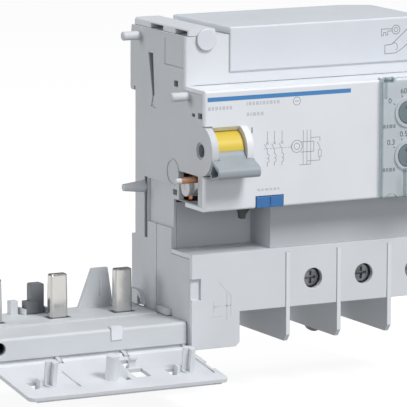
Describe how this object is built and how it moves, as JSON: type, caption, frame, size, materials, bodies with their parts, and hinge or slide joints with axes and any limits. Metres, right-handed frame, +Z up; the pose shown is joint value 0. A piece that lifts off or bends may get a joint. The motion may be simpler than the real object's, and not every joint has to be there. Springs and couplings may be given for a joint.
{
  "type": "residual current device",
  "caption": "DIN-rail residual current block with rocker toggle, test button, setting dials under a clear cover, screw terminals and a side tray with plug-in prongs and a hinged flap.",
  "frame": {"origin": "left face that joins the breaker, on the plane and the centre line of the DIN rail", "axes": "+X to the right along the rail, +Y to the back into the rail, +Z up"},
  "size_m": [0.1862, 0.0819, 0.1274],
  "materials": {
    "grey_body": "fine satin moulded thermoplastic, pale cool grey",
    "grey_cover": "fine satin moulded thermoplastic, pale cool grey",
    "handle_grey": "satin moulded, mid grey",
    "drum_yellow": "satin moulded, yellow",
    "clear_cover": "clear polycarbonate, polished",
    "dial_cyan": "satin moulded, blue-green",
    "button_blue": "satin moulded, blue",
    "black_plastic": "satin moulded, black",
    "lever_grey": "satin moulded, light grey",
    "clip_grey": "satin moulded, dark grey",
    "copper": "drawn copper, lightly oxidised",
    "tinned": "bright tin plate",
    "zinc_steel": "zinc plated steel",
    "spring_steel": "drawn spring wire",
    "core": "wound nanocrystalline strip",
    "winding": "enamelled copper wire",
    "board": "printed circuit board, solder mask"
  },
  "bodies": {
    "housing": {"busbar_1": "copper", "busbar_2": "copper", "busbar_3": "copper", "circuit_board": "board", "cover_hinge_pins": "zinc_steel", "filter_capacitor": "black_plastic", "flap_hinge_pin": "zinc_steel", "front_cover": "grey_cover", "housing_screws": "zinc_steel", "left_side_plate": "grey_body", "lower_band": "grey_body", "potentiometers": "black_plastic", "prong_1": "tinned", "prong_2": "tinned", "prong_3": "tinned", "rear_housing": "grey_body", "round_cap": "grey_body", "supply_transformer": "winding", "terminal_barrier_1": "grey_body", "terminal_barrier_2": "grey_body", "terminal_barrier_3": "grey_body", "terminal_housing": "grey_body", "test_contact": "copper", "toggle_axle": "zinc_steel", "top_bridge": "grey_body", "toroid_core": "core", "toroid_winding": "winding", "tray_base": "grey_body", "tray_cover": "grey_body", "trip_lever_pivot": "black_plastic", "trip_relay": "black_plastic", "upper_cap": "grey_cover"},
    "toggle": {"toggle_handle": "handle_grey", "toggle_drum": "drum_yellow", "toggle_spring": "spring_steel"},
    "trip_link": {"trip_lever": "lever_grey", "trip_pin": "copper"},
    "plunger": {"relay_plunger": "zinc_steel", "relay_spring": "spring_steel"},
    "button": {"test_button": "button_blue", "test_spring": "spring_steel"},
    "delay_setting": {"delay_dial": "dial_cyan"},
    "sensitivity_setting": {"sensitivity_dial": "dial_cyan"},
    "setting_cover": {"adjustment_cover": "clear_cover"},
    "flap": {"terminal_flap": "grey_cover"},
    "clip_left": {"rail_clip_left": "clip_grey"},
    "clip_right": {"rail_clip_right": "clip_grey"},
    "lock_clip": {"tray_lock_clip": "clip_grey"},
    "interlock": {"interlock_tab": "black_plastic"},
    "screw_1": {"terminal_screw_1": "zinc_steel"},
    "clamp_1": {"terminal_clamp_1": "zinc_steel"},
    "screw_2": {"terminal_screw_2": "zinc_steel"},
    "clamp_2": {"terminal_clamp_2": "zinc_steel"},
    "screw_3": {"terminal_screw_3": "zinc_steel"},
    "clamp_3": {"terminal_clamp_3": "zinc_steel"}
  },
  "joints": [
    {"name": "toggle_swing", "type": "hinge", "parent": "housing", "child": "toggle", "pos_m": [0.0087, -0.0531, 0], "axis": [-1, 0, 0], "range_deg": [0, 50], "deforming": ["toggle_spring"]},
    {"name": "trip_link_swing", "type": "hinge", "parent": "housing", "child": "trip_link", "pos_m": [0.003, -0.04, -0.0152], "axis": [1, 0, 0], "range_deg": [0, 30.5]},
    {"name": "plunger_stroke", "type": "slide", "parent": "housing", "child": "plunger", "axis": [-1, 0, 0], "range_m": [0, 0.0022], "stiffness_N_per_m": 50, "springref_m": -0.001, "deforming": ["relay_spring"]},
    {"name": "button_press", "type": "slide", "parent": "housing", "child": "button", "axis": [0, 1, 0], "range_m": [0, 0.0018], "stiffness_N_per_m": 60, "springref_m": -0.002, "deforming": ["test_spring"]},
    {"name": "delay_turn", "type": "hinge", "parent": "housing", "child": "delay_setting", "pos_m": [0.0863, -0.0555, 0.0096], "axis": [0, 1, 0], "range_deg": [-60, 60]},
    {"name": "sensitivity_turn", "type": "hinge", "parent": "housing", "child": "sensitivity_setting", "pos_m": [0.0863, -0.0555, -0.0068], "axis": [0, 1, 0], "range_deg": [-60, 60]},
    {"name": "setting_cover_swing", "type": "hinge", "parent": "housing", "child": "setting_cover", "pos_m": [0.0863, -0.0554, 0.0224], "axis": [-1, 0, 0], "range_deg": [0, 120]},
    {"name": "flap_swing", "type": "hinge", "parent": "housing", "child": "flap", "pos_m": [-0.0405, -0.0442, -0.0761], "axis": [-1, 0, 0], "range_deg": [0, 99]},
    {"name": "clip_left_pull", "type": "slide", "parent": "housing", "child": "clip_left", "axis": [0, 0, -1], "range_m": [0, 0.0045], "stiffness_N_per_m": 150, "springref_m": -0.004},
    {"name": "clip_right_pull", "type": "slide", "parent": "housing", "child": "clip_right", "axis": [0, 0, -1], "range_m": [0, 0.0045], "stiffness_N_per_m": 150, "springref_m": -0.004},
    {"name": "lock_clip_slide", "type": "slide", "parent": "housing", "child": "lock_clip", "axis": [0, -1, 0], "range_m": [0, 0.003]},
    {"name": "interlock_push", "type": "slide", "parent": "housing", "child": "interlock", "axis": [0, 0, 1], "range_m": [0, 0.003], "stiffness_N_per_m": 40, "springref_m": -0.002},
    {"name": "screw_1_turn", "type": "hinge", "parent": "housing", "child": "screw_1", "pos_m": [0.0516, -0.0443, -0.0527], "axis": [0, 1, 0], "range_deg": [0, 2000]},
    {"name": "clamp_1_slide", "type": "slide", "parent": "housing", "child": "clamp_1", "axis": [0, -1, 0], "range_m": [0, 0.00555]},
    {"name": "screw_2_turn", "type": "hinge", "parent": "housing", "child": "screw_2", "pos_m": [0.0736, -0.0443, -0.0527], "axis": [0, 1, 0], "range_deg": [0, 2000]},
    {"name": "clamp_2_slide", "type": "slide", "parent": "housing", "child": "clamp_2", "axis": [0, -1, 0], "range_m": [0, 0.00555]},
    {"name": "screw_3_turn", "type": "hinge", "parent": "housing", "child": "screw_3", "pos_m": [0.0956, -0.0443, -0.0527], "axis": [0, 1, 0], "range_deg": [0, 2000]},
    {"name": "clamp_3_slide", "type": "slide", "parent": "housing", "child": "clamp_3", "axis": [0, -1, 0], "range_m": [0, 0.00555]}
  ],
  "couplings": [
    {"joint": "trip_link_swing", "follows": "toggle_swing", "ratio": 0.6},
    {"joint": "screw_1_turn", "follows": "clamp_1_slide", "rad_per_m": 6283.2},
    {"joint": "screw_2_turn", "follows": "clamp_2_slide", "rad_per_m": 6283.2},
    {"joint": "screw_3_turn", "follows": "clamp_3_slide", "rad_per_m": 6283.2}
  ]
}
